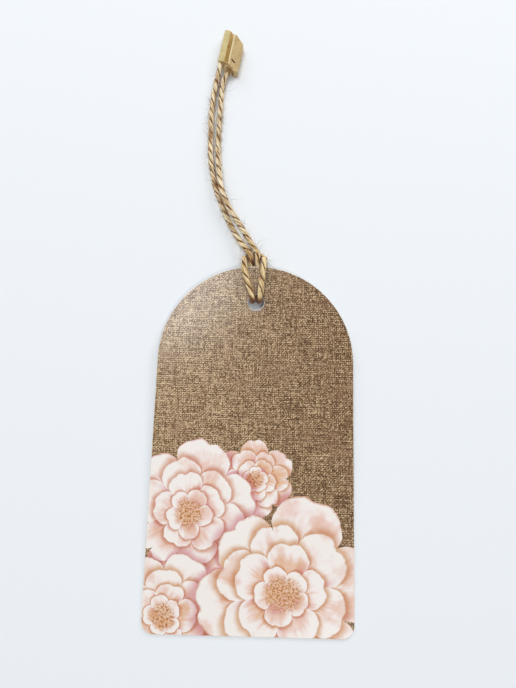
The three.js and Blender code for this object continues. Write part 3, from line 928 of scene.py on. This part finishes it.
def makePrintMaterial():
    material, tree, shader = newMaterial(
        "printedFace", Coat_Roughness=laminate["coatRoughness"], Coat_IOR=laminate["coatIor"],
        Specular_IOR_Level=laminate["specular"],
    )
    corner = (cardSize["width"] / 2 / mm, topEdgeY / mm, 0.0)
    place = vectorCalc(tree, "ADD", millimetres(tree), corner)  # from the lower left corner
    flat = vectorCalc(tree, "MULTIPLY", place, (1.0, 1.0, 0.0))
    weave = useGroup(
        tree, makeLinenGroup(), Vector=flat, Pitch=linen["pitch"], Wander=linen["wander"]
    )
    cloth = paintLinen(tree, flat, weave["Tone"])
    paint, cover = paintBlooms(tree, flat)
    paint = mix(tree, cover, cloth, paint)
    grain = noiseAt(tree, flat, 3.5, 3, 0.7)
    paint = mix(tree, ramp(tree, grain, 0.35, 0.65, 0.06, 0.0), paint, colour(linen["middle"]))
    feed(tree, shader.inputs["Base Color"], paint)
    scuffs = useGroup(tree, mottle, Vector=flat, Size=2.5, Contrast=2.0)["Tone"]
    feed(tree, shader.inputs["Roughness"], ramp(tree, scuffs, 0.3, 0.7, *laminate["roughness"]))
    feed(tree, shader.inputs["Coat Weight"], ramp(tree, weave["Tone"], 0.1, 0.9, *laminate["coat"]))
    relief = calc(tree, "MULTIPLY", grain, laminate["grainRelief"])
    relief = calc(tree, "MULTIPLY_ADD", weave["Height"], laminate["weaveRelief"], relief)
    feed(tree, shader.inputs["Normal"], bumpNormal(
        tree, relief, laminate["reliefDepth"], laminate["reliefStrength"]
    ))
    return material


board = makeCardSheet("cardBoard", card["boardProfile"])
finishPiece(board, makePaperMaterial(), ["tag"], ["card_board"])
film = makeCardSheet("printedFace", card["filmProfile"])
finishPiece(film, makePrintMaterial(), ["tag"], ["print_film"])
print("card made")


# Snap lock: the solids' own forms with softly moulded edges

lock = {
    "position": (-10.49 * mm, topEdgeY + 61.12 * mm),
    "lean": math.radians(9),  # from +Y towards +X
    "voxel": 0.06 * mm,
    "smoothing": 2,
    "keptFaces": 0.14,
    "rod": "#d3c28c",
    "rodShade": "#bba76d",
    "plate": "#c8ad7b",
    "plateShade": "#ab8f5b",
    # painted shade, darker on the rod's flank where it slopes into the groove
    "groove": "#bd9a57",
    # a painted highlight, lighter along the plate's raised edge
    "lip": "#e2cc9c",
    "lipBand": (0.62, 0.5),  # across the lock, in millimetres, where the painted highlight on the plate's raised edge lies
    # across the lock, in millimetres, where the painted shade on the rod's flank lies
    "grooveShadeBand": (-1.4, -1.0),
    "dimple": (-0.92, 5.75, 2.13),  # in the lock's own place, in millimetres
    "dimpleRadius": 0.34 * mm,
    "dimpleDepth": 0.55 * mm,
}


def lockPoint(x, y, z):  # from the lock's own place, in millimetres, to the frame
    lean = lock["lean"]
    across, along = (math.cos(lean), -math.sin(lean)), (math.sin(lean), math.cos(lean))
    return np.array([
        lock["position"][0] + (x * across[0] + y * along[0]) * mm,
        lock["position"][1] + (x * across[1] + y * along[1]) * mm,
        z * mm,
    ])


def settle(obj, kind, **settings):  # a modifier, applied
    modifier = obj.modifiers.new(kind, kind)
    for key, value in settings.items():
        setattr(modifier, key, value)
    shaped = obj.evaluated_get(bpy.context.evaluated_depsgraph_get())
    mesh = bpy.data.meshes.new_from_object(shaped)
    obj.modifiers.clear()
    obj.data = mesh


def pressDimple(obj):  # a round hollow that the moulding pin left in the rod's flank
    centre = Vector(lockPoint(*lock["dimple"]))
    for vertex in obj.data.vertices:
        off = (vertex.co - centre).length / lock["dimpleRadius"]
        if off < 1:
            vertex.co.z -= lock["dimpleDepth"] * (1 - off * off)


def makeMoulding(name, node, dimpled=False):
    obj = addObject(name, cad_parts[node].data.copy())
    obj.data.materials.clear()
    settle(obj, "REMESH", mode="VOXEL", voxel_size=lock["voxel"])
    settle(obj, "SMOOTH", factor=0.5, iterations=lock["smoothing"])
    if dimpled:
        pressDimple(obj)
    settle(obj, "DECIMATE", ratio=lock["keptFaces"])
    shadeSmooth(obj)
    return obj


def makePlasticMaterial(name, main, shade, edge, paintedLightBand):  # painted light: the edge colour fills a strip across the lock, a highlight on the plate and shade on the rod
    material, tree, shader = newMaterial(name, Roughness=0.4, IOR=1.5)
    tone = useGroup(tree, mottle, Vector=millimetres(tree), Size=1.2, Contrast=2.0)
    body = mix(tree, ramp(tree, tone["Tone"], 0.2, 0.62), colour(shade), colour(main))
    start, lean = lock["position"], lock["lean"]
    offset = vectorCalc(tree, "SUBTRACT", millimetres(tree), (start[0] / mm, start[1] / mm, 0.0))
    offset = vectorCalc(tree, "MULTIPLY", offset, (math.cos(lean), -math.sin(lean), 0.0))
    split = addNode(tree, "SeparateXYZ", Vector=offset).outputs
    across = calc(tree, "ADD", split["X"], split["Y"])
    # painted light in the strip across the lock
    feed(tree, shader.inputs["Base Color"], mix(tree, ramp(tree, across, *paintedLightBand), body, colour(edge)))
    feed(tree, shader.inputs["Roughness"], ramp(tree, tone["Tone"], 0.2, 0.8, 0.5, 0.32))
    feed(tree, shader.inputs["Normal"], bumpNormal(tree, tone["Height"], 0.012 * mm, 0.5))
    return material


plate = makeMoulding("lockBody", "lock_body")
# the plate's raised edge gets a painted highlight
plateMaterial = makePlasticMaterial(
    "lockPlate", lock["plate"], lock["plateShade"], lock["lip"], lock["lipBand"]
)
finishPiece(plate, plateMaterial, ["cord"], ["lock_body"])
rod = makeMoulding("lockPlug", "lock_plug", dimpled=True)
# the rod's flank gets painted shade where it slopes into the groove
rodMaterial = makePlasticMaterial(
    "lockRod", lock["rod"], lock["rodShade"], lock["groove"], lock["grooveShadeBand"]
)
finishPiece(rod, rodMaterial, ["plug"], ["lock_plug"])
print("lock made:", len(plate.data.polygons), "and", len(rod.data.polygons), "faces")


# Frayed end of the right strand, which curls out of the lock's mouth

fray = {
    "tufts": [  # in the lock's own place, in millimetres: where it starts, where it heads
        ((0.8, -1.35, 1.9), (0.1, -1.0, 0.3)),
        ((0.0, -0.6, 1.6), (0.35, -1.0, 0.25)),
    ],
    "fibres": 130,
    "spread": 0.36,
    "length": (1.0 * mm, 2.2 * mm),
    "thickness": (0.12 * mm, 0.24 * mm),
    "curl": 0.7,
    "seed": 31,
    "dark": "#b07f30",
    "light": "#fff0c6",
}


def makeFray():
    random = np.random.default_rng(fray["seed"])
    paths, thicknesses = [], []
    lastRow = len(twineLine) - 1
    for mouth, heading in fray["tufts"] * fray["fibres"]:
        offset = np.clip(random.normal(0, fray["spread"], 3), -0.7, 0.7)
        start = lockPoint(*(np.array(mouth) + offset))
        aim = lockPoint(*heading) - lockPoint(0, 0, 0)
        direction = aim / np.linalg.norm(aim) + 0.5 * offset + random.normal(0, 0.25, 3)
        length = random.uniform(*fray["length"])
        paths.append(growFibre(random, start, direction, length, fray["curl"], lastRow))
        thicknesses.append(random.uniform(*fray["thickness"]))
    return makeFibres("frayedEnd", paths, thicknesses, 5)


frayMaterial = makeFibreMaterial("frayedJute", fray["dark"], fray["light"])
finishPiece(makeFray(), frayMaterial, ["cord"])
print("frayed end made")


# Table and light

studio = {
    "tableSize": 3.0,
    "table": (0.88, 0.913, 0.947, 1.0),
    "skyColour": (0.97, 0.985, 1.0, 1.0),
    "skyStrength": 0.39,
    "backdrop": (0.9, 0.93, 0.955, 1.0),
    "lamps": [  # name, place, size, watts
        ("softbox", (0.36, 0.56, 0.32), 0.3, 1.45),
        ("fill", (-0.36, 0.56, 0.34), 0.42, 0.78),
        ("window", (-0.235, 0.35, 1.0), 0.38, 3.35),
        ("front", (0.25, -0.62, 1.05), 0.2, 2.7),
    ],
}


def makeTable():
    half = studio["tableSize"] / 2
    table = makeObject(
        "table", [(-half, -half, 0), (half, -half, 0), (half, half, 0), (-half, half, 0)], [(0, 1, 2, 3)]
    )
    material, tree, shader = newMaterial("tableTop", Roughness=0.9, Specular_IOR_Level=0.1)
    feed(tree, shader.inputs["Base Color"], studio["table"])
    table.data.materials.append(material)


def makeWorld():
    world = bpy.data.worlds.new("studio")
    bpy.context.scene.world = world
    world.use_nodes = True
    tree = world.node_tree
    tree.nodes.clear()
    sky = addNode(tree, "Background", Color=studio["skyColour"], Strength=studio["skyStrength"])
    seen = addNode(tree, "Background", Color=studio["backdrop"], Strength=1.0)
    path = addNode(tree, "LightPath")
    blend = addNode(tree, "MixShader")
    feed(tree, blend.inputs[0], path.outputs["Is Camera Ray"])
    feed(tree, blend.inputs[1], sky.outputs[0])
    feed(tree, blend.inputs[2], seen.outputs[0])
    feed(tree, addNode(tree, "OutputWorld").inputs["Surface"], blend.outputs[0])


def makeLamps():
    for name, place, size, watts in studio["lamps"]:
        data = bpy.data.lights.new(name, "AREA")
        data.shape, data.size, data.energy = "DISK", size, watts
        lamp = bpy.data.objects.new(name, data)
        lamp.location = place
        lamp.rotation_euler = (-Vector(place)).to_track_quat("-Z", "Y").to_euler()
        bpy.context.scene.collection.objects.link(lamp)


makeTable()
makeWorld()
makeLamps()
bpy.context.scene.view_settings.view_transform = "Standard"
print("studio made")
